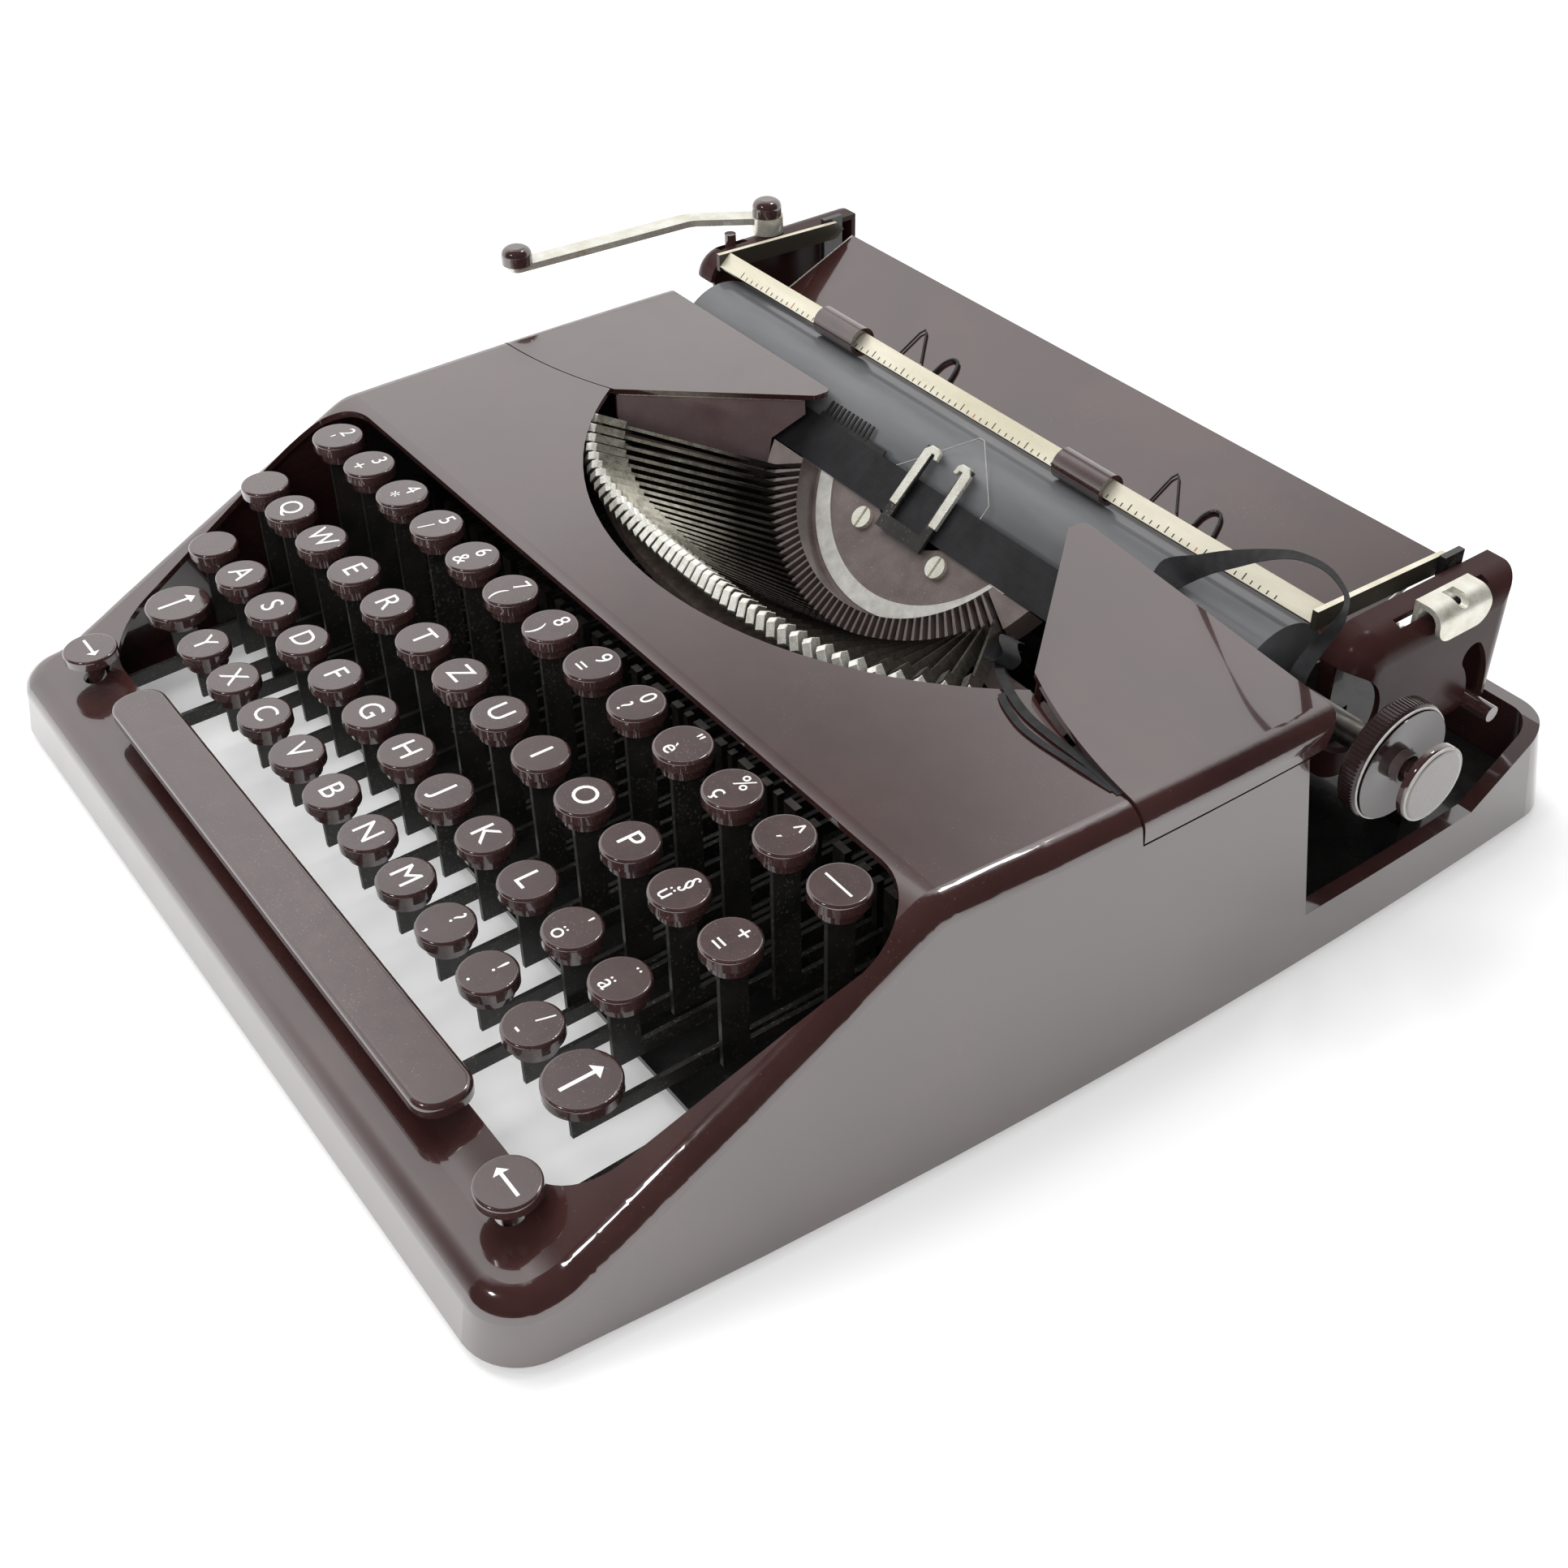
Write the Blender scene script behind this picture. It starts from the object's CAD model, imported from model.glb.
"""Dresses the flat portable typewriter and sets it in a plain white studio."""

import logging
from dataclasses import dataclass, field
from enum import Enum
from math import acos, atan, cos, radians, sin, sqrt

import bpy
from mathutils import Matrix, Vector


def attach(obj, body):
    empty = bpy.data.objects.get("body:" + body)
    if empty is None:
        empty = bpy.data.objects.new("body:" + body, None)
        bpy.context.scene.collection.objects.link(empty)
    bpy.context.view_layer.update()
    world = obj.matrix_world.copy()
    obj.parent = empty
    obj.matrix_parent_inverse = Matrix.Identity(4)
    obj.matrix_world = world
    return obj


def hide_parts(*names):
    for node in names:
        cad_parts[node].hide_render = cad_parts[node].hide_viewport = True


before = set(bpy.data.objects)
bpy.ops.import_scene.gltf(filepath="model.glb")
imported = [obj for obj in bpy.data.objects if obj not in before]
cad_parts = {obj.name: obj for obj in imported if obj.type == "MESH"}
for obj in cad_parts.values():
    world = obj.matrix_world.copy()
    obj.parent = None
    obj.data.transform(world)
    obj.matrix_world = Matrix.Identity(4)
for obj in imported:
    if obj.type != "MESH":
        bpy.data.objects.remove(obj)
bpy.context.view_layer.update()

logging.basicConfig(level=logging.INFO, format="%(message)s")
log = logging.getLogger("typewriter")

Colour = tuple[float, float, float]
Spot = tuple[float, float, float]
Span = tuple[float, float]
Value = bpy.types.NodeSocket | float

MM = 0.001
CORNER = Vector((3.35, -151.5, 3.0))
HALF_ROOT = sqrt(0.5)
PRINT_POINT = Vector((0.0, 217.33, 57.67))
PLATEN_Y = 228.5
PLATEN_Z = 46.5

NOISE_SPAN = (0.3, 0.7)
UPWARD_SPAN = (0.25, 0.60)
FADE_ACROSS = (-0.015, 0.020)
FADE_SHARE = (1.0, 0.22)


def at(x: float, y: float, z: float) -> Vector:
    """Gives a place on the machine in metres.

    Args:
        x: Millimetres to the typist's right of the middle.
        y: Millimetres behind the front edge.
        z: Millimetres above the lower edge of the shell.

    Returns:
        The place in the shared frame.
    """
    return (Vector((x, y, z)) + CORNER) * MM


def strike(x: float, v: float, a: float) -> Spot:
    """Gives a place beside the printing point, on the plane that the type strikes.

    Args:
        x: Millimetres to the right.
        v: Millimetres up along the striking plane.
        a: Millimetres off the plane, towards the typist.

    Returns:
        The place on the machine in millimetres.
    """
    rise = PRINT_POINT + Vector((x, (v - a) * HALF_ROOT, (v + a) * HALF_ROOT))
    return rise.x, rise.y, rise.z


def math_node(tree: bpy.types.NodeTree, operation: str, *values: Value) -> bpy.types.NodeSocket:
    """Adds one arithmetic node.

    Args:
        tree: The nodes to add it to.
        operation: What it does.
        values: Its inputs in order, each a socket or a fixed number.

    Returns:
        The result.
    """
    node = tree.nodes.new("ShaderNodeMath")
    node.operation = operation
    for slot, value in zip(node.inputs, values):
        if isinstance(value, float):
            slot.default_value = value
        else:
            tree.links.new(value, slot)
    return node.outputs[0]


def map_range(tree: bpy.types.NodeTree, value: bpy.types.NodeSocket, source: Span,
              target: Span = (0.0, 1.0)) -> bpy.types.Node:
    """Adds a node that spreads one span over another.

    Args:
        tree: The nodes to add it to.
        value: The value to spread.
        source: The span that the value comes from.
        target: The span that it goes to.

    Returns:
        The node.
    """
    node = tree.nodes.new("ShaderNodeMapRange")
    node.inputs["From Min"].default_value, node.inputs["From Max"].default_value = source
    node.inputs["To Min"].default_value, node.inputs["To Max"].default_value = target
    tree.links.new(value, node.inputs["Value"])
    return node


def vector_node(tree: bpy.types.NodeTree, operation: str, value: bpy.types.NodeSocket,
                fixed: Vector | Spot) -> bpy.types.NodeSocket:
    """Adds one vector node that measures a vector against a fixed one.

    Args:
        tree: The nodes to add it to.
        operation: What it does.
        value: The vector.
        fixed: The vector that it is measured against.

    Returns:
        The measure.
    """
    node = tree.nodes.new("ShaderNodeVectorMath")
    node.operation = operation
    node.inputs[1].default_value = fixed
    tree.links.new(value, node.inputs[0])
    return node.outputs["Value"]


def split(tree: bpy.types.NodeTree, value: bpy.types.NodeSocket, axis: str) -> bpy.types.NodeSocket:
    """Takes one axis out of a vector."""
    node = tree.nodes.new("ShaderNodeSeparateXYZ")
    tree.links.new(value, node.inputs[0])
    return node.outputs[axis]


class Grain(Enum):
    """How the fine relief of a finish runs."""

    EVEN = "even"
    WEAVE = "weave"


@dataclass(frozen=True)
class Finish:
    """One surface finish, made from noise in the object's own coordinates.

    Attributes:
        name: The material's name.
        deep: The darker tone.
        pale: The lighter tone.
        patch: Patches of tone per metre.
        rough: The lowest and highest roughness.
        relief: Height of the fine relief in millimetres.
        relief_scale: Grains of relief per metre.
        metallic: Share of metal.
        coat: Weight of the clear coat.
        coat_ior: How strongly the coat mirrors.
        ior: How strongly the surface below it mirrors.
        specks: How far the dust spreads beyond its usual amount.
        speck: The dust's tone.
        speck_scale: Grains of dust per metre.
        speck_share: How dense a grain of dust is; 0 for no dust.
        side: The tone of faces that don't look up, if they differ.
        roots: How far from the printing point a typebar starts and ends to brighten, in metres.
        stretch: How the noise is drawn out along each axis.
        clear: Share of light that passes.
        cover: Opacity.
        grain: How the relief runs.
    """

    name: str
    deep: Colour
    pale: Colour
    patch: float = 40.0
    rough: Span = (0.3, 0.4)
    relief: float = 0.02
    relief_scale: float = 900.0
    metallic: float = 0.0
    coat: float = 0.0
    coat_ior: float = 1.5
    ior: float = 1.5
    specks: float = 0.0
    speck: Colour = (0.35, 0.32, 0.30)
    speck_scale: float = 1500.0
    speck_share: float = 0.0
    side: Colour | None = None
    roots: Span | None = None
    stretch: Spot = (1.0, 1.0, 1.0)
    clear: float = 0.0
    cover: float = 1.0
    grain: Grain = Grain.EVEN

    def material(self) -> bpy.types.Material:
        """Makes the node material once and hands it out after that.

        Returns:
            The material of this finish.
        """
        made = bpy.data.materials.get(self.name)
        if made is not None:
            return made
        made = bpy.data.materials.new(self.name)
        made.use_nodes = True
        tree = made.node_tree
        shader = tree.nodes["Principled BSDF"]
        shader.inputs["Metallic"].default_value = self.metallic
        shader.inputs["IOR"].default_value = self.ior
        shader.inputs["Coat Weight"].default_value = self.coat
        shader.inputs["Coat Roughness"].default_value = 0.05
        shader.inputs["Coat IOR"].default_value = self.coat_ior
        shader.inputs["Transmission Weight"].default_value = self.clear
        shader.inputs["Alpha"].default_value = self.cover
        place = tree.nodes.new("ShaderNodeTexCoord")
        turn = tree.nodes.new("ShaderNodeMapping")
        turn.inputs["Scale"].default_value = self.stretch
        tree.links.new(place.outputs["Object"], turn.inputs["Vector"])
        where = turn.outputs["Vector"]
        colour = self._ramp(tree, self._noise(tree, where, self.patch, 5.0), (0.32, 0.68))
        if self.side is not None:
            colour = self._darken_sides(tree, place, colour)
        fine = self._noise(tree, where, self.relief_scale, 3.0)
        wear = self._noise(tree, where, self.patch * 3.0, 6.0)
        rough = map_range(tree, wear, NOISE_SPAN, self.rough).outputs["Result"]
        if self.speck_share > 0.0:
            colour, rough = self._dust(tree, where, colour, rough)
        tree.links.new(colour, shader.inputs["Base Color"])
        tree.links.new(rough, shader.inputs["Roughness"])
        if self.grain is Grain.WEAVE:
            fine = self._weave(tree, where)
        bump = tree.nodes.new("ShaderNodeBump")
        bump.inputs["Strength"].default_value = 0.35
        bump.inputs["Distance"].default_value = self.relief * MM
        tree.links.new(fine, bump.inputs["Height"])
        tree.links.new(bump.outputs["Normal"], shader.inputs["Normal"])
        return made

    def _noise(self, tree: bpy.types.NodeTree, where: bpy.types.NodeSocket, scale: float,
               detail: float) -> bpy.types.NodeSocket:
        """Adds a noise node.

        Args:
            tree: The material's nodes.
            where: The coordinates.
            scale: Patches per metre.
            detail: Octaves.

        Returns:
            The noise value.
        """
        noise = tree.nodes.new("ShaderNodeTexNoise")
        noise.inputs["Scale"].default_value = scale
        noise.inputs["Detail"].default_value = detail
        noise.inputs["Roughness"].default_value = 0.6
        tree.links.new(where, noise.inputs["Vector"])
        return noise.outputs["Fac"]

    def _ramp(self, tree: bpy.types.NodeTree, value: bpy.types.NodeSocket, span: Span) -> bpy.types.NodeSocket:
        """Colours a value from the deep tone to the pale one.

        Args:
            tree: The material's nodes.
            value: The value to colour.
            span: Where the deep tone ends and the pale one starts.

        Returns:
            The colour.
        """
        ramp = tree.nodes.new("ShaderNodeValToRGB")
        ramp.color_ramp.elements[0].position = span[0]
        ramp.color_ramp.elements[0].color = (*self.deep, 1.0)
        ramp.color_ramp.elements[1].position = span[1]
        ramp.color_ramp.elements[1].color = (*self.pale, 1.0)
        tree.links.new(value, ramp.inputs["Fac"])
        return ramp.outputs["Color"]

    def _darken_sides(self, tree: bpy.types.NodeTree, place: bpy.types.Node,
                      colour: bpy.types.NodeSocket) -> bpy.types.NodeSocket:
        """Keeps the worn upper faces bright, and the faces that look sideways and the bars' roots dark.

        Args:
            tree: The material's nodes.
            place: The node that gives a face's place and the way it looks.
            colour: The bright colour.

        Returns:
            The colour by the way that a face looks.
        """
        upward = map_range(tree, split(tree, place.outputs["Normal"], "Z"), UPWARD_SPAN)
        if self.roots is not None:
            away = vector_node(tree, "DISTANCE", place.outputs["Object"], at(*PRINT_POINT))
            reach = map_range(tree, away, self.roots)
            fade = map_range(tree, split(tree, place.outputs["Object"], "X"), FADE_ACROSS, FADE_SHARE)
            tree.links.new(fade.outputs["Result"], reach.inputs["To Max"])
            tree.links.new(reach.outputs["Result"], upward.inputs["To Max"])
        mix = tree.nodes.new("ShaderNodeMix")
        mix.data_type = "RGBA"
        mix.inputs[6].default_value = (*self.side, 1.0)
        tree.links.new(upward.outputs["Result"], mix.inputs[0])
        tree.links.new(colour, mix.inputs[7])
        return mix.outputs[2]

    def _dust(self, tree: bpy.types.NodeTree, where: bpy.types.NodeSocket, colour: bpy.types.NodeSocket,
              rough: bpy.types.NodeSocket) -> tuple[bpy.types.NodeSocket, bpy.types.NodeSocket]:
        """Scatters fine pale specks over the surface.

        Args:
            tree: The material's nodes.
            where: The coordinates.
            colour: The clean colour.
            rough: The clean roughness.

        Returns:
            The dusty colour and roughness.
        """
        grains = self._noise(tree, where, self.speck_scale, 1.0)
        drifts = self._noise(tree, where, 28.0, 3.0)
        both = math_node(tree, "MULTIPLY_ADD", drifts, 0.35, grains)
        edge = (0.87 - self.specks, 0.93 - self.specks)
        dust = map_range(tree, both, edge, (0.0, self.speck_share)).outputs["Result"]
        mix = tree.nodes.new("ShaderNodeMix")
        mix.data_type = "RGBA"
        mix.inputs[7].default_value = (*self.speck, 1.0)
        tree.links.new(dust, mix.inputs[0])
        tree.links.new(colour, mix.inputs[6])
        return mix.outputs[2], math_node(tree, "MULTIPLY_ADD", dust, 0.4, rough)

    def _weave(self, tree: bpy.types.NodeTree, where: bpy.types.NodeSocket) -> bpy.types.NodeSocket:
        """Crosses two sets of fine threads.

        Args:
            tree: The material's nodes.
            where: The coordinates.

        Returns:
            The height of the weave.
        """
        threads = []
        for direction in ("X", "Z"):
            wave = tree.nodes.new("ShaderNodeTexWave")
            wave.bands_direction = direction
            wave.inputs["Scale"].default_value = self.relief_scale
            wave.inputs["Distortion"].default_value = 0.6
            tree.links.new(where, wave.inputs["Vector"])
            threads.append(wave.outputs["Fac"])
        return math_node(tree, "MULTIPLY", *threads)


BROWN_LACQUER = Finish("brown_lacquer", (0.032, 0.012, 0.012), (0.048, 0.019, 0.017), 35.0, (0.16, 0.26), 0.010,
                       700.0, coat=1.0, coat_ior=2.05, specks=-0.03, speck_scale=2200.0, speck_share=0.15)
SKIRT_BROWN = Finish("skirt_brown", (0.125, 0.080, 0.082), (0.180, 0.128, 0.130), 60.0, (0.24, 0.34), 0.010, 700.0,
                     coat=0.5, coat_ior=1.6)
END_LACQUER = Finish("end_lacquer", (0.026, 0.010, 0.010), (0.040, 0.016, 0.015), 35.0, (0.18, 0.28), 0.010, 700.0,
                     ior=1.25)
KNOB_BROWN = Finish("knob_brown", (0.022, 0.012, 0.012), (0.036, 0.020, 0.019), 60.0, (0.16, 0.26), 0.010, 900.0,
                    coat=1.0, coat_ior=1.36, ior=1.35)
KEY_BROWN = Finish("key_brown", (0.036, 0.016, 0.015), (0.055, 0.026, 0.024), 160.0, (0.20, 0.30), 0.008, 1500.0,
                   coat=1.0, coat_ior=2.05, specks=-0.01, speck_scale=2200.0, speck_share=0.3)
LEVER_BLACK = Finish("lever_black", (0.010, 0.010, 0.010), (0.024, 0.022, 0.020), 120.0, (0.32, 0.50), 0.02, 900.0,
                     specks=0.04, speck=(0.20, 0.19, 0.16), speck_share=0.4)
SEGMENT_BROWN = Finish("segment_brown", (0.080, 0.058, 0.053), (0.130, 0.104, 0.098), 140.0, (0.32, 0.46), 0.02,
                       1200.0, coat=0.4, specks=0.01, speck_scale=2200.0, speck_share=0.3)
NICKEL = Finish("aged_nickel", (0.70, 0.67, 0.56), (0.88, 0.87, 0.80), 180.0, (0.18, 0.36), 0.012, 1400.0, 0.65)
TYPE_STEEL = Finish("type_steel", (0.30, 0.28, 0.22), (0.66, 0.63, 0.53), 420.0, (0.20, 0.40), 0.02, 2200.0, 0.8,
                    side=(0.030, 0.026, 0.019), roots=(0.058, 0.074))
SLUG_STEEL = Finish("slug_steel", (0.66, 0.64, 0.56), (0.94, 0.93, 0.88), 500.0, (0.18, 0.34), 0.02, 2400.0, 0.45,
                    side=(0.085, 0.076, 0.058))
BAND_ALLOY = Finish("band_alloy", (0.40, 0.39, 0.36), (0.58, 0.57, 0.54), 260.0, (0.34, 0.50), 0.02, 2600.0, 0.3)
DULL_STEEL = Finish("dull_steel", (0.20, 0.19, 0.17), (0.36, 0.34, 0.31), 150.0, (0.30, 0.48), 0.02, 1300.0, 1.0)
BRASS = Finish("old_brass", (0.42, 0.28, 0.10), (0.66, 0.47, 0.20), 220.0, (0.24, 0.40), 0.01, 1500.0, 1.0)
BAIL_GOLD = Finish("bail_gold", (0.66, 0.61, 0.46), (0.86, 0.82, 0.68), 90.0, (0.26, 0.40), 0.012, 1600.0, 0.45,
                   stretch=(0.2, 1.0, 1.0), side=(0.060, 0.052, 0.040))
COPPER_EDGE = Finish("copper_edge", (0.66, 0.52, 0.44), (0.88, 0.80, 0.74), 200.0, (0.18, 0.32), 0.01, 1500.0, 0.6)
PLATEN_RUBBER = Finish("platen_rubber", (0.085, 0.087, 0.092), (0.125, 0.127, 0.132), 60.0, (0.30, 0.42), 0.02,
                       1100.0, coat=0.45, stretch=(0.25, 1.0, 1.0))
FOOT_RUBBER = Finish("foot_rubber", (0.012, 0.012, 0.012), (0.026, 0.025, 0.024), 90.0, (0.55, 0.75), 0.05, 1200.0)
REST_FELT = Finish("rest_felt", (0.050, 0.036, 0.030), (0.110, 0.085, 0.070), 500.0, (0.80, 0.95), 0.10, 2600.0)
INK_RIBBON = Finish("ink_ribbon", (0.006, 0.006, 0.007), (0.014, 0.014, 0.016), 120.0, (0.45, 0.62), 0.05, 320.0,
                    grain=Grain.WEAVE)
BLACK_ENAMEL = Finish("black_enamel", (0.008, 0.008, 0.008), (0.018, 0.017, 0.016), 60.0, (0.18, 0.32), 0.01, 800.0,
                      coat=0.4)
LEGEND_WHITE = Finish("legend_white", (0.74, 0.73, 0.70), (0.86, 0.85, 0.82), 300.0, (0.45, 0.60), 0.01, 2000.0)
MARK_BLACK = Finish("mark_black", (0.010, 0.010, 0.010), (0.022, 0.020, 0.018), 300.0, (0.4, 0.55), 0.01, 2000.0)
MARK_RED = Finish("mark_red", (0.36, 0.030, 0.022), (0.50, 0.050, 0.035), 300.0, (0.4, 0.55), 0.01, 2000.0)
CLEAR_CARD = Finish("clear_card", (0.90, 0.90, 0.88), (0.97, 0.97, 0.96), 60.0, (0.03, 0.09), 0.004, 700.0,
                    clear=1.0, cover=0.14, ior=1.45)

NODE_FINISHES: dict[Finish, tuple[str, ...]] = {
    BROWN_LACQUER: ("body_shell", "ribbon_cover_left", "ribbon_cover_right", "paper_table"),
    END_LACQUER: ("carriage_end_left", "carriage_end_right"),
    KNOB_BROWN: ("platen_knob",),
    KEY_BROWN: ("space_bar", "shift_keys", "key_tops_row_1", "key_tops_row_2", "key_tops_row_3",
                "key_tops_row_4", "backspace_key", "tabulator_key", "home_key", "knob_button", "lever_studs",
                "bail_rollers", "carriage_release_lever", "line_space_selector"),
    LEVER_BLACK: ("space_bar_arms", "shift_levers", "key_levers_row_1", "key_levers_row_2", "key_levers_row_3",
                  "key_levers_row_4", "backspace_lever", "tabulator_lever", "home_lever", "ribbon_spool_left",
                  "ribbon_spool_right", "margin_stop_left", "margin_stop_right", "ribbon_vibrator"),
    BLACK_ENAMEL: ("base_plate", "side_frames", "carriage_truck", "carriage_beam"),
    SEGMENT_BROWN: ("segment",),
    BAND_ALLOY: ("segment_band",),
    TYPE_STEEL: ("typebars", "home_typebar"),
    NICKEL: ("slotted_screws", "return_lever", "paper_release_lever"),
    BAIL_GOLD: ("paper_bail",),
    DULL_STEEL: ("fulcrum_rod", "key_comb", "carriage_rail", "platen_shaft", "margin_rack", "mainspring_drum"),
    BRASS: ("escapement_wheel",),
    PLATEN_RUBBER: ("platen_roller",),
    FOOT_RUBBER: ("rubber_feet", "feed_roller_front", "feed_roller_rear"),
    REST_FELT: ("typebar_rest",),
    INK_RIBBON: ("ribbon",),
}


def clear_bench() -> None:
    """Leaves edit mode and drops every selection."""
    if bpy.context.mode != "OBJECT":
        bpy.ops.object.mode_set(mode="OBJECT")
    bpy.ops.object.select_all(action="DESELECT")
    bpy.context.view_layer.objects.active = None


def take_up(piece: bpy.types.Object) -> None:
    """Makes one piece the only selected and active object."""
    clear_bench()
    piece.select_set(True)
    bpy.context.view_layer.objects.active = piece


def apply_modifiers(piece: bpy.types.Object) -> None:
    """Applies every modifier of a piece."""
    take_up(piece)
    for modifier in list(piece.modifiers):
        bpy.ops.object.modifier_apply(modifier=modifier.name)


def thicken(piece: bpy.types.Object, thickness: float, offset: float = 0.0) -> None:
    """Gives a sheet its thickness.

    Args:
        piece: The sheet.
        thickness: Millimetres.
        offset: Which side it grows to, from -1 to 1.
    """
    wall = piece.modifiers.new("wall", "SOLIDIFY")
    wall.thickness = thickness * MM
    wall.offset = offset
    wall.use_even_offset = True
    apply_modifiers(piece)


def soften(piece: bpy.types.Object, width: float, segments: int = 2) -> None:
    """Rounds the edges of a piece.

    Args:
        piece: The piece.
        width: Millimetres.
        segments: Faces across each rounding.
    """
    edge = piece.modifiers.new("edge", "BEVEL")
    edge.width = width * MM
    edge.segments = segments
    edge.limit_method = "ANGLE"
    edge.angle_limit = radians(40.0)
    apply_modifiers(piece)


def smooth(piece: bpy.types.Object, angle: float = 40.0) -> None:
    """Shades a piece smooth up to the given angle in degrees."""
    take_up(piece)
    bpy.ops.object.shade_smooth_by_angle(angle=radians(angle))


def settle(piece: bpy.types.Object, name: str, finish: Finish, body: str) -> bpy.types.Object:
    """Finishes a piece: its place goes into its mesh, and it gets its name, finish and body.

    Args:
        piece: The piece.
        name: Its name.
        finish: Its surface.
        body: The body that carries it.

    Returns:
        The piece.
    """
    take_up(piece)
    bpy.ops.object.transform_apply(location=True, rotation=True, scale=True)
    piece.name = name
    piece.data.name = name
    piece.data.materials.clear()
    piece.data.materials.append(finish.material())
    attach(piece, body)
    log.info("%s rides on %s, %d faces", name, body, len(piece.data.polygons))
    return piece


def join(pieces: list[bpy.types.Object]) -> bpy.types.Object:
    """Joins pieces into the first one.

    Args:
        pieces: The pieces, at least one.

    Returns:
        The joined piece.
    """
    for piece in pieces:
        take_up(piece)
        bpy.ops.object.transform_apply(location=True, rotation=True, scale=True)
    clear_bench()
    for piece in pieces:
        piece.select_set(True)
    bpy.context.view_layer.objects.active = pieces[0]
    if len(pieces) > 1:
        bpy.ops.object.join()
    return bpy.context.view_layer.objects.active


def wire(points: list[Spot], radius: float) -> bpy.types.Object:
    """Draws a round wire through points.

    Args:
        points: Places on the machine.
        radius: Millimetres.

    Returns:
        The wire as a mesh.
    """
    clear_bench()
    route = [at(*point) for point in points]
    bpy.ops.mesh.primitive_plane_add(size=MM, location=route[0])
    piece = bpy.context.object
    bpy.ops.object.mode_set(mode="EDIT")
    bpy.ops.mesh.select_all(action="SELECT")
    bpy.ops.mesh.merge(type="CENTER")
    for start, stop in zip(route, route[1:]):
        bpy.ops.mesh.extrude_region_move(TRANSFORM_OT_translate={"value": stop - start})
    bpy.ops.object.mode_set(mode="OBJECT")
    bpy.ops.object.convert(target="CURVE")
    piece = bpy.context.object
    piece.data.bevel_depth = radius * MM
    piece.data.bevel_resolution = 2
    piece.data.use_fill_caps = True
    bpy.ops.object.convert(target="MESH")
    piece = bpy.context.object
    smooth(piece, 60.0)
    return piece


def rounded(points: list[Spot], steps: int = 8) -> list[Spot]:
    """Runs a smooth line through points.

    Args:
        points: Places that the line passes through.
        steps: Short lengths between two of them.

    Returns:
        The places along the line.
    """
    ends = [points[0], *points, points[-1]]
    line = []
    for p0, p1, p2, p3 in zip(ends, ends[1:], ends[2:], ends[3:]):
        a, b, c, d = Vector(p0), Vector(p1), Vector(p2), Vector(p3)
        for step in range(steps):
            t = step / steps
            place = 0.5 * (2 * b + (c - a) * t + (2 * a - 5 * b + 4 * c - d) * t ** 2
                           + (3 * b - a - 3 * c + d) * t ** 3)
            line.append(tuple(place))
    line.append(points[-1])
    return line


def tape(middles: list[Spot], sides: list[Spot], thickness: float, rows: int = 4) -> bpy.types.Object:
    """Makes a flat tape along a line.

    Args:
        middles: Places along the middle of the tape.
        sides: At each place, the half width as a vector.
        thickness: Millimetres.
        rows: Faces across the tape.

    Returns:
        The tape.
    """
    clear_bench()
    bpy.ops.mesh.primitive_grid_add(x_subdivisions=len(middles) - 1, y_subdivisions=rows, size=1.0)
    piece = bpy.context.object
    across = rows + 1
    corners = sorted(piece.data.vertices, key=lambda corner: (round(corner.co.x, 5), round(corner.co.y, 5)))
    for index, corner in enumerate(corners):
        along, row = divmod(index, across)
        share = 2.0 * row / rows - 1.0
        corner.co = at(*(Vector(middles[along]) + Vector(sides[along]) * share))
    thicken(piece, thickness)
    smooth(piece, 50.0)
    return piece


def pane(points: list[Spot], thickness: float) -> bpy.types.Object:
    """Makes a flat plate from its outline.

    Args:
        points: The corners in order.
        thickness: Millimetres.

    Returns:
        The plate.
    """
    clear_bench()
    bpy.ops.mesh.primitive_circle_add(vertices=len(points), radius=1.0, fill_type="NGON")
    piece = bpy.context.object
    for corner, point in zip(piece.data.vertices, points):
        corner.co = at(*point)
    thicken(piece, thickness)
    return piece


def ring(middle: Spot, radius: float, thick: float) -> bpy.types.Object:
    """Makes a round ring across the X axis.

    Args:
        middle: Its centre on the machine.
        radius: To the middle of the wire, millimetres.
        thick: Radius of the wire.

    Returns:
        The ring.
    """
    clear_bench()
    bpy.ops.mesh.primitive_torus_add(location=at(*middle), rotation=(0.0, radians(90.0), 0.0), major_segments=64,
                                     minor_segments=10, major_radius=radius * MM, minor_radius=thick * MM)
    piece = bpy.context.object
    bpy.ops.object.transform_apply(location=True, rotation=True, scale=True)
    smooth(piece, 80.0)
    return piece


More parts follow.
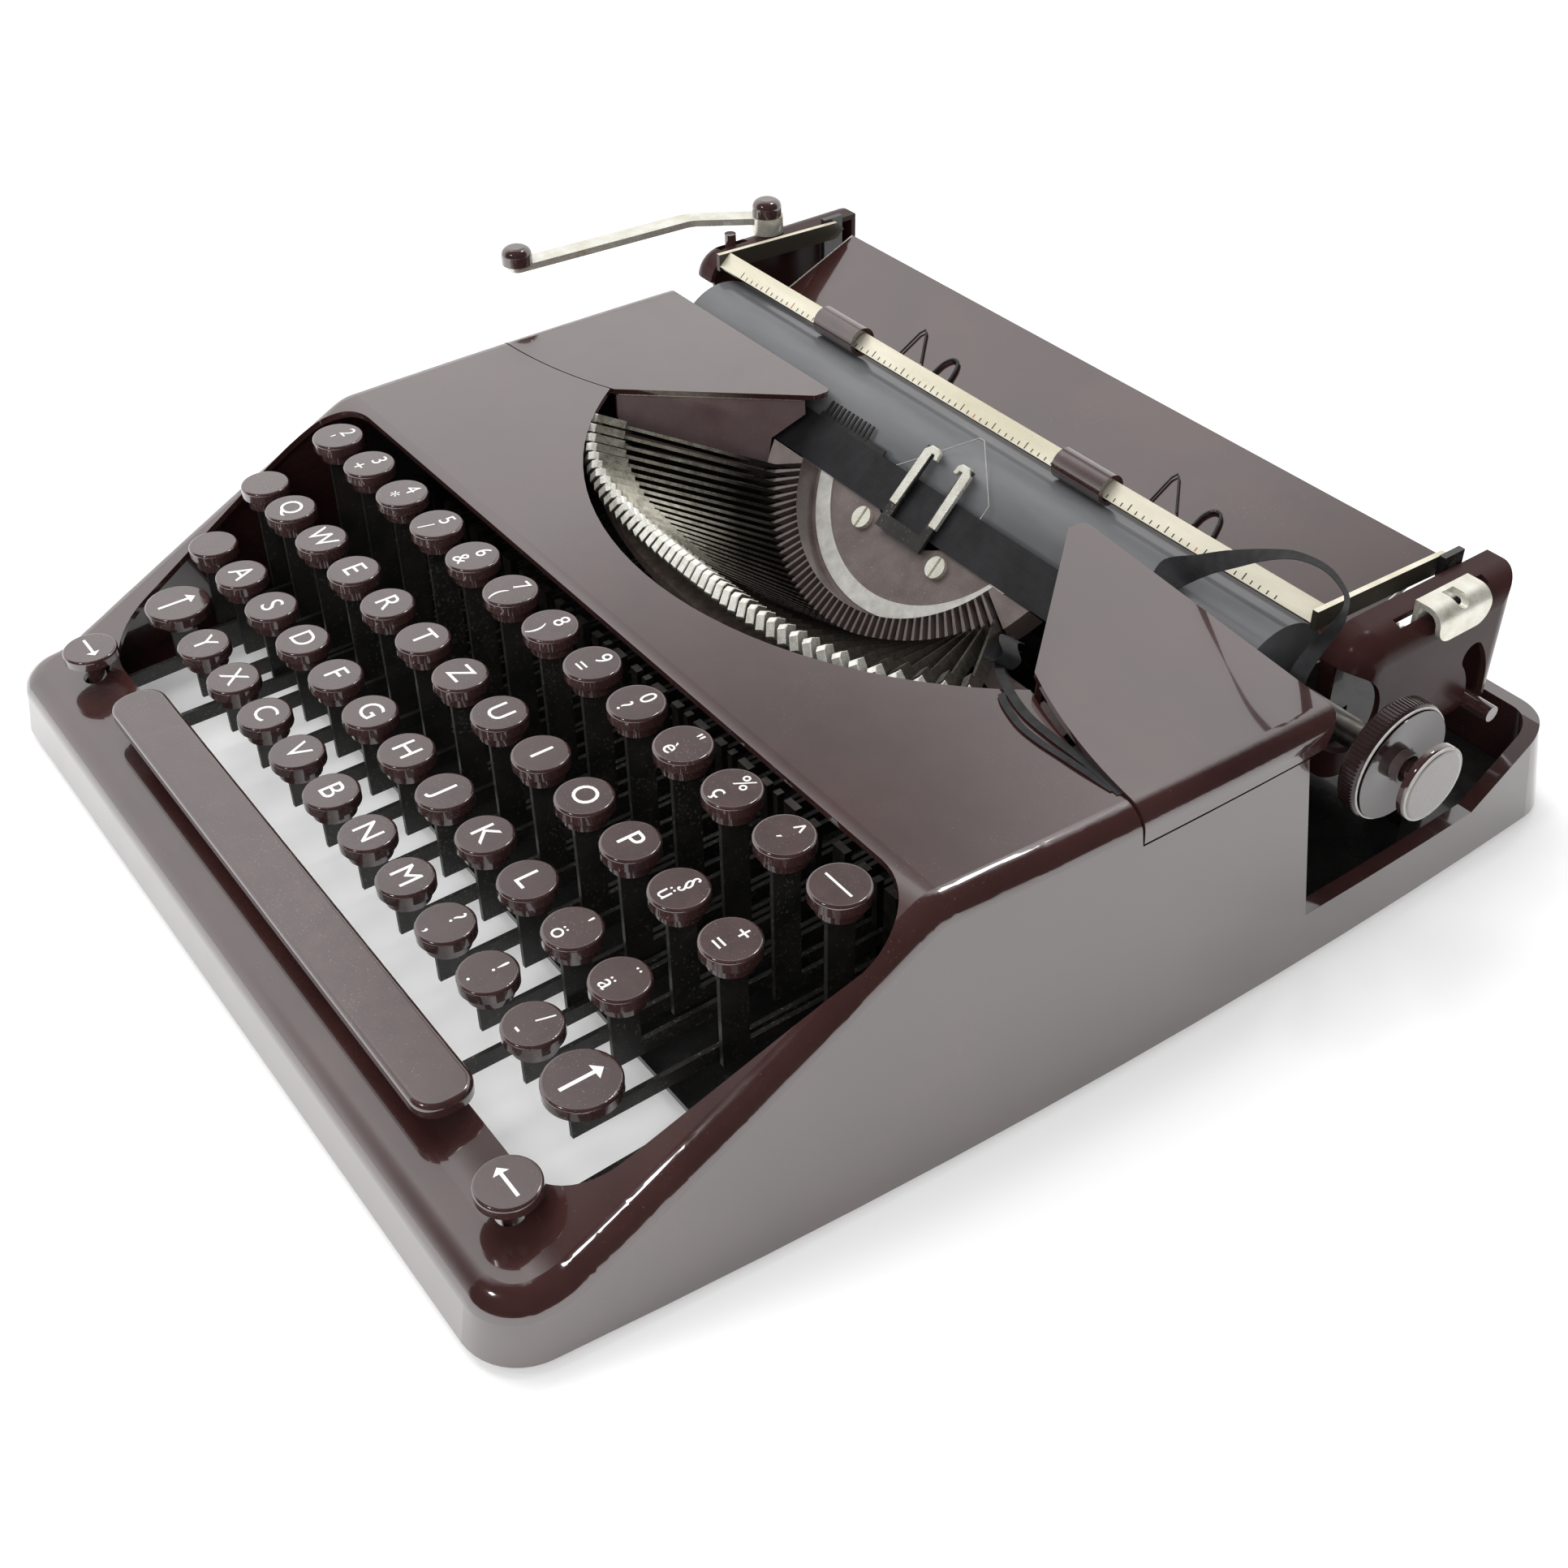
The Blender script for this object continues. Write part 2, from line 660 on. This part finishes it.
@dataclass
class Legends:
    """The letters and signs on the key tops."""

    pitch: float = 18.5
    lift: float = 0.04
    letter: float = 8.4
    figure: float = 6.0
    rows: dict[str, tuple[float, float, float, tuple[str, ...]]] = field(default_factory=lambda: {
        "row_2": (-102.1, 76.7, 49.2, tuple("QWERTZUIOP")),
        "row_3": (-96.7, 58.2, 38.7, tuple("ASDFG JKL")),
        "row_4": (-85.65, 41.2, 30.0, tuple("YXCVBNM")),
        "home": (-4.2, 58.2, 38.7, ("H",)),
        "row_1": (111.0, 96.6, 60.05, ("—",)),
    })
    pairs: dict[str, tuple[float, float, float, tuple[str, ...]]] = field(default_factory=lambda: {
        "row_1": (-111.0, 96.6, 60.05, ("2'", "3+", "4*", "5/", "6&", "7(", "8)", "9=", "0?", '"è', "%ç", "^´")),
        "row_2": (82.9, 76.7, 49.2, ("§ü", "+=")),
        "row_3": (69.8, 58.2, 38.7, ("'ö", "¨ä")),
        "row_4": (43.85, 41.2, 30.0, ("?,", "!.", "/-")),
    })

    def sign_at(self, text: str, x: float, y: float, z: float, size: float) -> bpy.types.Object:
        """Writes one sign flat on a key.

        Args:
            text: The sign.
            x: Its middle.
            y: Its middle.
            z: The key's top.
            size: Height of the lettering in millimetres.

        Returns:
            The sign as a mesh.
        """
        clear_bench()
        bpy.ops.object.text_add(location=at(x, y, z + self.lift))
        piece = bpy.context.object
        piece.data.body = text
        piece.data.size = size * MM
        piece.data.align_x = "CENTER"
        piece.data.align_y = "CENTER"
        piece.data.resolution_u = 4
        piece.data.extrude = self.lift * MM
        bpy.ops.object.convert(target="MESH")
        return bpy.context.object

    def arrow(self, x: float, y: float, z: float, reach: float, turn: float) -> bpy.types.Object:
        """Draws a plain arrow flat on a key.

        Args:
            x: Its middle.
            y: Its middle.
            z: The key's top.
            reach: Half its length.
            turn: Degrees from pointing away from the typist.

        Returns:
            The arrow.
        """
        half, head = 0.09 * reach, 0.42 * reach
        shape = ((-half, -reach), (half, -reach), (half, reach - head), (head, reach - head), (0.0, reach),
                 (-head, reach - head), (-half, reach - head))
        c, s = cos(radians(turn)), sin(radians(turn))
        return pane([(x + u * c - w * s, y + u * s + w * c, z + self.lift) for u, w in shape], 2 * self.lift)

    def build(self) -> None:
        """Letters every key and lets each row's signs ride with its keys."""
        groups: dict[str, list[bpy.types.Object]] = {}
        for body, (first, y, z, texts) in self.rows.items():
            for index, text in enumerate(texts):
                if text.strip():
                    made = self.sign_at(text, first + self.pitch * index, y, z, self.letter)
                    groups.setdefault(body, []).append(made)
        for body, (first, y, z, texts) in self.pairs.items():
            for index, (upper, lower) in enumerate(texts):
                x = first + self.pitch * index
                groups.setdefault(body, []).append(self.sign_at(upper, x + 0.4, y + 2.7, z, self.figure))
                groups[body].append(self.sign_at(lower, x - 0.4, y - 2.9, z, self.figure))
        groups["shift"] = [self.arrow(-107.4, 43.0, 30.0, 5.2, 0.0), self.arrow(99.6, 41.4, 30.0, 5.2, 0.0)]
        groups["tabulator"] = [self.arrow(-109.2, 18.5, 24.8, 4.2, -90.0)]
        groups["backspace"] = [self.arrow(109.2, 18.5, 24.8, 4.2, 90.0)]
        for body, signs in groups.items():
            settle(join(signs), f"legends_{body}", LEGEND_WHITE, body)


@dataclass
class Ribbon:
    """The inked ribbon: across the printing point, to both spools, and loose behind the right cover."""

    half_width: float = 6.0
    thickness: float = 0.16
    top: float = -6.0
    rise: float = 1.2
    reach: float = 60.0
    spool_end: Spot = (88.0, 204.5, 27.5)
    steps: int = 48

    def run(self) -> bpy.types.Object:
        """Makes the run from spool to spool.

        Returns:
            The tape.
        """
        end_x, end_y, end_z = self.spool_end
        slope = Vector((0.0, HALF_ROOT, HALF_ROOT)) * self.half_width
        upright = Vector((0.0, 0.0, self.half_width))
        middle = self.top - self.half_width
        line, sides = [], []
        for index in range(self.steps + 1):
            x = -end_x + 2 * end_x * index / self.steps
            share = max(0.0, (abs(x) - self.reach) / (end_x - self.reach))
            ease = share * share * (3 - 2 * share)
            near = Vector(strike(x, middle, self.rise))
            far = Vector((x, end_y, end_z))
            line.append(tuple(near.lerp(far, ease)))
            sides.append(tuple(slope.lerp(upright, ease)))
        return tape(line, sides, self.thickness)

    def loop(self) -> bpy.types.Object:
        """Makes the loose loop that stands up behind the right cover.

        Returns:
            The tape.
        """
        route = [(75.0, 209.2, 46.0), (75.0, 211.2, 52.0), (75.0, 216.9, 58.6), (75.2, 218.4, 61.6),
                 (76.0, 222.6, 64.6), (83.2, 223.5, 70.0), (90.6, 223.5, 75.3), (97.8, 223.5, 80.0),
                 (104.0, 223.5, 83.5), (108.2, 223.5, 85.4), (112.8, 223.5, 86.4), (116.7, 223.5, 86.5),
                 (120.0, 223.5, 85.5), (123.3, 223.5, 82.8), (123.3, 223.5, 78.3), (121.6, 223.3, 73.2),
                 (119.3, 222.0, 67.5), (118.6, 218.9, 62.0), (119.2, 216.9, 58.6), (119.4, 211.2, 52.0),
                 (119.4, 209.2, 46.0)]
        widths = [(-2.0, 0.0, 0.0), (-2.0, 0.0, 0.0), (-2.4, 0.0, 0.0), (-3.2, 0.0, 0.2), (-4.6, 0.6, 0.8),
                  (-3.4, 1.1, 0.5), (-3.0, 1.1, 0.3), (-1.9, 1.1, 0.3), (-0.7, 1.1, 0.5), (-0.9, 1.1, 0.2),
                  (-0.4, 1.1, 0.1), (-0.4, 1.1, 0.0), (-0.4, 1.1, -0.1), (-0.2, 1.1, -0.4), (0.4, 1.0, 0.0),
                  (2.0, 0.6, 1.3), (2.3, 0.3, 1.2), (2.4, 0.0, 0.5), (2.2, 0.0, 0.0), (2.0, 0.0, 0.0),
                  (2.0, 0.0, 0.0)]
        return tape(rounded(route, 5), rounded(widths, 5), self.thickness)

    def strays(self) -> list[bpy.types.Object]:
        """Makes the two strands that lie on the panel along the right cover's seam, and their bunched end.

        Returns:
            The tapes.
        """
        level = 61.75
        seam = [(75.5, 169.0, 63.0), (78.5, 165.9, 62.3), (86.2, 162.7, level), (94.1, 160.4, level),
                (102.4, 159.7, level), (110.9, 159.6, level), (118.8, 159.2, level), (125.2, 158.6, 61.4)]
        panel = [(84.6, 161.2, level), (88.2, 159.2, level), (95.6, 156.9, level), (102.4, 156.5, level),
                 (108.8, 156.9, level), (115.4, 157.3, level), (123.5, 158.0, 61.5)]
        bunch = [(72.0, 176.4, 62.4), (73.0, 173.4, 64.6), (75.6, 170.8, 65.4), (78.4, 169.4, 64.4),
                 (78.0, 167.2, 62.9), (75.6, 166.6, 63.2), (74.4, 169.0, 64.4), (76.0, 172.0, 64.4)]
        made = []
        for route, side in ((seam, (0.3, 1.1, 0.0)), (panel, (0.2, 0.9, 0.0)), (bunch, (1.6, 1.4, -0.9))):
            line = rounded(route, 6)
            made.append(tape(line, [side] * len(line), self.thickness))
        return made

    def build(self) -> None:
        """Builds the ribbon in place of its plain solid."""
        whole = join([self.run(), self.loop(), *self.strays()])
        settle(whole, "inked_ribbon", INK_RIBBON, "base")
        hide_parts("ribbon")


@dataclass
class PrintingPoint:
    """The clear card holder, the line scale and the vibrator's hooks around the printing point."""

    card_off: float = 0.72
    card_thickness: float = 0.4
    hook_off: float = 2.4

    def card(self) -> None:
        """Makes the clear gable behind the ribbon, with its scored edge."""
        outline = ((-16.0, -17.6), (18.0, -17.6), (18.0, -2.0), (4.4, 11.4), (2.6, 11.4), (-12.0, -2.4),
                   (-16.0, -6.0))
        plate = pane([strike(x, v, self.card_off) for x, v in outline], self.card_thickness)
        settle(plate, "card_holder", CLEAR_CARD, "base")
        edge = [strike(x, v, self.card_off + 0.18) for x, v in outline[1:]]
        settle(wire(edge, 0.13), "card_holder_rim", BAND_ALLOY, "base")

    def scale(self) -> None:
        """Makes the black toothed scale to the left of the printing point."""
        parts = []
        foot = ((-50.0, -17.6), (-22.0, -17.6), (-22.0, -4.4), (-50.0, -4.4))
        parts.append(pane([strike(x, v, 0.75) for x, v in foot], 0.4))
        for index in range(11):
            x = -49.0 + 1.8 * index
            tooth = ((x, -5.0), (x + 0.9, -5.0), (x + 0.8, -0.6), (x + 0.2, -0.6))
            parts.append(pane([strike(u, v, 0.85) for u, v in tooth], 0.45))
        settle(join(parts), "line_scale", MARK_BLACK, "base")

    def hooks(self) -> None:
        """Makes the bright fronts of the vibrator's legs, whose tips bend over the ribbon."""
        shape = ((9.4, -14.8), (9.2, 1.6), (7.6, 3.4), (4.8, 3.4), (3.6, 2.4), (3.4, 0.2), (4.7, 0.2), (5.1, 1.4),
                 (6.2, 1.4), (6.6, -14.8))
        made = []
        for side in (-1, 1):
            hook = pane([strike(side * x, v, self.hook_off) for x, v in shape[::side]], 1.4)
            soften(hook, 0.25)
            made.append(hook)
        settle(join(made), "vibrator_hooks", NICKEL, "vibrator")

    def build(self) -> None:
        """Builds all three."""
        self.card()
        self.scale()
        self.hooks()


@dataclass
class TypeSlugs:
    """The bright type slugs on the ends of the typebars."""

    count: int = 44
    moving: int = 22
    step: float = 2.88
    pivot_radius: float = 50.5
    pivot_rise: float = 5.0
    length: float = 49.5
    head_height: float = 57.0
    thickness: float = 2.5

    def slug(self, index: int) -> bpy.types.Object:
        """Makes the slug of one bar, at the end of its head.

        Args:
            index: Which bar, counted from the left.

        Returns:
            The slug.
        """
        angle = radians((index - (self.count - 1) / 2) * self.step)
        rise = Vector((0.0, -HALF_ROOT, HALF_ROOT))
        outward = Vector((sin(angle), -HALF_ROOT * cos(angle), -HALF_ROOT * cos(angle)))
        pivot = PRINT_POINT + outward * self.pivot_radius + rise * self.pivot_rise
        reach = (self.head_height - pivot.z) / (HALF_ROOT * self.length)
        lean = acos(reach / sqrt(1 + cos(angle) ** 2)) - atan(cos(angle))
        along = rise * cos(lean) + outward * sin(lean)
        face = outward.cross(rise).cross(along)
        shape = ((51.6, -2.6), (55.2, -3.0), (56.0, -2.2), (56.0, 1.4), (55.0, 2.6), (51.6, 2.6))
        piece = pane([tuple(pivot + along * u + face * w) for u, w in shape], self.thickness)
        soften(piece, 0.2, 1)
        return piece

    def build(self) -> None:
        """Builds every slug; one of them rides on the moving typebar."""
        fixed = [self.slug(index) for index in range(self.count) if index != self.moving]
        settle(join(fixed), "type_slugs", SLUG_STEEL, "base")
        settle(self.slug(self.moving), "home_slug", SLUG_STEEL, "home_bar")


@dataclass
class CoverTrim:
    """The faces and worn bright edges of the walls that hang below the ribbon covers."""

    seam: Span = (86.0, 168.4)
    tip: Span = (50.0, 211.0)
    hinge: Span = (134.1, 53.4)
    ajar: float = 5.5
    setback: float = 0.86

    def spot(self, side: int, along: float, off: float, z: float) -> Spot:
        """Gives a place on the hanging wall of one cover.

        Args:
            side: -1 for the left cover, 1 for the right one.
            along: Millimetres from the seam towards the tip.
            off: Millimetres behind the cover's inner edge.
            z: Height with the cover shut.

        Returns:
            The place on the machine, with the right cover ajar.
        """
        run = Vector((self.tip[0] - self.seam[0], self.tip[1] - self.seam[1])).normalized()
        x = self.seam[0] + run.x * along + run.y * off
        y = self.seam[1] + run.y * along - run.x * off
        if side < 0:
            return -x, y, z
        turn, out, up = radians(self.ajar), x - self.hinge[0], z - self.hinge[1]
        raised = self.hinge[1] - out * sin(turn) + up * cos(turn)
        return self.hinge[0] + out * cos(turn) + up * sin(turn), y, raised

    def build(self) -> None:
        """Builds the face and the bright edge of both walls."""
        face = ((0.4, 58.9), (0.4, 44.6), (35.8, 33.8), (40.0, 34.4), (42.1, 37.8), (43.4, 46.7), (52.8, 54.4),
                (52.8, 58.9))
        for side, name in ((-1, "left"), (1, "right")):
            plate = pane([self.spot(side, along, self.setback, z) for along, z in face], 0.16)
            settle(plate, f"cover_wall_{name}", SKIRT_BROWN, f"cover_{name}")
            line = [self.spot(side, 1.0, 0.7, 59.3), self.spot(side, 52.0, 0.7, 58.9)]
            settle(wire(line, 0.4), f"cover_edge_{name}", COPPER_EDGE, f"cover_{name}")


@dataclass
class CarriageTrim:
    """Wires, marks and bright edges on the carriage."""

    middle: float = -8.0
    table_half: float = 115.0
    bail_step: float = 2.54
    bail_tilt: float = 40.0
    bail_middle: Spot = (0.0, 234.0, 66.0)
    red_steps: tuple[int, ...] = (10, 42, 74)

    def fingers(self) -> None:
        """Makes the two bent wire paper fingers on the paper table."""
        made = []
        for x in (-67.0, 36.4):
            peak = [(x, 254.2, 52.6), (x - 1.0, 262.6, 56.2), (x - 0.4, 264.4, 57.0), (x + 0.8, 263.6, 56.7),
                    (x + 8.8, 255.2, 53.1)]
            made.append(wire([(u, y, z + 0.2) for u, y, z in peak], 0.3))
            bow = [(x + 15.4, 254.6, 52.8), (x + 15.2, 258.2, 54.3), (x + 16.4, 260.6, 55.3),
                   (x + 18.6, 260.7, 55.4), (x + 20.4, 258.6, 54.5), (x + 22.2, 254.6, 52.8)]
            made.append(wire(rounded([(u, y, z + 0.3) for u, y, z in bow], 5), 0.5))
        settle(join(made), "paper_fingers", LEVER_BLACK, "carriage")

    def table_edges(self) -> None:
        """Polishes the two ends of the paper table."""
        made = []
        for side in (-1, 1):
            x = self.middle + side * (self.table_half - 0.3)
            made.append(wire([(x, 254.4, 51.9), (x, 267.0, 57.2), (x, 279.6, 62.5)], 0.45))
        settle(join(made), "paper_table_edges", NICKEL, "carriage")

    def bail_marks(self) -> None:
        """Rules the paper bail with black steps and a few red ones."""
        black, red = [], []
        tilt = radians(self.bail_tilt)
        front = Vector((0.0, -sin(tilt), cos(tilt)))
        along = Vector((0.0, cos(tilt), sin(tilt)))
        base = Vector(self.bail_middle) + front * 0.9
        for index in range(85):
            x = self.middle - 107.0 + self.bail_step * index
            tall = 1.9 if index % 5 == 0 else 1.1
            low = base + along * -2.3
            high = low + along * tall
            corners = ((x - 0.16, low), (x + 0.16, low), (x + 0.16, high), (x - 0.16, high))
            mark = pane([(u, p.y, p.z) for u, p in corners], 0.06)
            (red if index in self.red_steps else black).append(mark)
        settle(join(black), "bail_marks", MARK_BLACK, "bail")
        settle(join(red), "bail_red_marks", MARK_RED, "bail")

    def knob_faces(self) -> None:
        """Dishes the knob's face, brightens its rim and gives the push button its edge and neck."""
        turns = [(cos(radians(5.0 * index)), sin(radians(5.0 * index))) for index in range(73)]
        dish = tape([(142.5, PLATEN_Y + 9.0 * c, PLATEN_Z + 9.0 * s) for c, s in turns],
                    [(0.4, 4.7 * c, 4.7 * s) for c, s in turns], 0.2, 6)
        settle(dish, "knob_dish", KNOB_BROWN, "platen")
        sleeve = tape([(143.3, PLATEN_Y + 3.6 * c, PLATEN_Z + 3.6 * s) for c, s in turns],
                      [(1.2, 0.0, 0.0)] * len(turns), 0.6)
        settle(sleeve, "knob_sleeve", SEGMENT_BROWN, "platen")
        settle(ring((142.2, PLATEN_Y, PLATEN_Z), 14.0, 0.3), "knob_rim", BAND_ALLOY, "platen")
        settle(ring((151.2, PLATEN_Y, PLATEN_Z), 9.0, 0.35), "button_edge", BAND_ALLOY, "button")
        neck = rounded([(x, PLATEN_Y, PLATEN_Z) for x in (146.5, 147.9, 149.4)], 2)
        settle(wire(neck, 2.9), "button_neck", SEGMENT_BROWN, "button")

    def build(self) -> None:
        """Builds all of them."""
        self.fingers()
        self.table_edges()
        self.bail_marks()
        self.knob_faces()


@dataclass
class Studio:
    """Camera, soft light and the pale floor."""

    focal: float = 2399.155
    image: float = 1932.0
    centre: Span = (964.214, 958.902)
    pitch: float = 39.4258
    yaw: float = -54.5432
    roll: float = -0.9285
    eye: Spot = (334.41, -75.99, 319.11)
    aim: Spot = (0.0, 0.0, 0.03)
    backdrop: Spot = (-0.70, 0.48, -0.53)
    backdrop_edge: Span = (-0.22, 0.0)
    patch: Spot = (-0.600, 0.420, 0.680)
    patch_edge: Span = (0.973, 0.9985)
    patch_depth: Span = (1.0, 0.25)

    def camera(self) -> None:
        """Sets the camera to the photograph's view."""
        data = bpy.data.cameras.new("camera")
        data.sensor_width = 36.0
        data.sensor_fit = "HORIZONTAL"
        data.lens = self.focal / self.image * data.sensor_width
        data.shift_x = (self.image / 2 - self.centre[0]) / self.image
        data.shift_y = (self.centre[1] - self.image / 2) / self.image
        data.clip_start = 0.01
        shown = bpy.data.objects.new("camera", data)
        bpy.context.scene.collection.objects.link(shown)
        level = Matrix(((1, 0, 0), (0, 0, -1), (0, 1, 0)))
        look = (Matrix.Rotation(radians(self.roll), 3, "Z") @ Matrix.Rotation(radians(self.pitch), 3, "X")
                @ level @ Matrix.Rotation(radians(self.yaw), 3, "Z"))
        turn = look.transposed() @ Matrix.Diagonal((1.0, -1.0, -1.0))
        shown.matrix_world = Matrix.Translation(at(*self.eye)) @ turn.to_4x4()
        bpy.context.scene.camera = shown

    def lamp(self, name: str, place: Spot, size: float, power: float, shiny: bool) -> None:
        """Hangs one square soft lamp that faces the machine.

        Args:
            name: Its name.
            place: Where it hangs, in metres.
            size: Its side in metres.
            power: Watts.
            shiny: Whether polished surfaces mirror it.
        """
        data = bpy.data.lights.new(name, "AREA")
        data.size = size
        data.energy = power
        shown = bpy.data.objects.new(name, data)
        bpy.context.scene.collection.objects.link(shown)
        shown.location = place
        shown.rotation_euler = (Vector(self.aim) - Vector(place)).to_track_quat("-Z", "Y").to_euler()
        shown.visible_glossy = shiny

    def floor(self) -> None:
        """Lays the pale floor, which keeps the machine's shadow."""
        clear_bench()
        bpy.ops.mesh.primitive_plane_add(size=8.0, location=(0.0, 0.0, 0.0))
        ground = bpy.context.object
        ground.name = "floor"
        made = bpy.data.materials.new("pale_floor")
        made.use_nodes = True
        tree = made.node_tree
        shader = tree.nodes["Principled BSDF"]
        shader.inputs["Base Color"].default_value = (0.82, 0.82, 0.82, 1.0)
        shader.inputs["Roughness"].default_value = 0.9
        shader.inputs["Specular IOR Level"].default_value = 0.1
        shader.inputs["Emission Color"].default_value = (1.0, 1.0, 1.0, 1.0)
        path = tree.nodes.new("ShaderNodeLightPath")
        seen = math_node(tree, "MAXIMUM", path.outputs["Is Camera Ray"], path.outputs["Is Transmission Ray"])
        mirrored = math_node(tree, "MAXIMUM", seen, path.outputs["Is Glossy Ray"])
        tree.links.new(math_node(tree, "MULTIPLY", mirrored, 0.25), shader.inputs["Emission Strength"])
        ground.data.materials.append(made)

    def world(self) -> None:
        """Makes the white backdrop, and what polish mirrors: a bright back left with a soft dark patch."""
        room = bpy.data.worlds.new("studio")
        bpy.context.scene.world = room
        room.use_nodes = True
        tree = room.node_tree
        tree.nodes.clear()
        white, soft, dim = (tree.nodes.new("ShaderNodeBackground") for _ in range(3))
        white.inputs["Color"].default_value = (1.0, 1.0, 1.0, 1.0)
        soft.inputs["Color"].default_value = (0.48, 0.48, 0.48, 1.0)
        dim.inputs["Color"].default_value = (0.018, 0.018, 0.018, 1.0)
        path = tree.nodes.new("ShaderNodeLightPath")
        place = tree.nodes.new("ShaderNodeTexCoord")
        way = place.outputs["Generated"]
        bright = map_range(tree, vector_node(tree, "DOT_PRODUCT", way, self.backdrop), self.backdrop_edge)
        dark = map_range(tree, vector_node(tree, "DOT_PRODUCT", way, self.patch), self.patch_edge, self.patch_depth)
        lit = math_node(tree, "MULTIPLY", bright.outputs["Result"], dark.outputs["Result"])
        glossy = math_node(tree, "MULTIPLY", path.outputs["Is Glossy Ray"], lit)
        seen = math_node(tree, "MAXIMUM", path.outputs["Is Camera Ray"], path.outputs["Is Transmission Ray"])
        shown = math_node(tree, "MAXIMUM", seen, glossy)
        fill = tree.nodes.new("ShaderNodeMixShader")
        tree.links.new(path.outputs["Is Glossy Ray"], fill.inputs[0])
        tree.links.new(soft.outputs[0], fill.inputs[1])
        tree.links.new(dim.outputs[0], fill.inputs[2])
        mix = tree.nodes.new("ShaderNodeMixShader")
        tree.links.new(shown, mix.inputs[0])
        tree.links.new(fill.outputs[0], mix.inputs[1])
        tree.links.new(white.outputs[0], mix.inputs[2])
        out = tree.nodes.new("ShaderNodeOutputWorld")
        tree.links.new(mix.outputs[0], out.inputs["Surface"])

    def build(self) -> None:
        """Sets up the whole studio."""
        self.camera()
        self.lamp("key_lamp", (-0.55, -0.10, 1.05), 0.9, 12.0, False)
        self.lamp("fill_lamp", (0.75, -0.75, 0.85), 0.8, 6.5, False)
        self.lamp("edge_lamp", (-0.21, 0.60, 1.13), 0.16, 1.2, True)
        self.lamp("slope_lamp", (-0.07, -0.80, 1.03), 0.14, 0.9, True)
        self.floor()
        self.world()
        bpy.context.scene.view_settings.view_transform = "Standard"


def dress_nodes() -> None:
    """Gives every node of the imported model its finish."""
    for finish, names in NODE_FINISHES.items():
        for name in names:
            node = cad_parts[name]
            node.data.materials.clear()
            node.data.materials.append(finish.material())
            log.info("%s finished in %s", name, finish.name)


def main() -> None:
    """Builds the scene in order."""
    Studio().build()
    dress_nodes()
    Ribbon().build()
    PrintingPoint().build()
    TypeSlugs().build()
    CoverTrim().build()
    CarriageTrim().build()
    Legends().build()


if __name__ == "__main__":
    main()
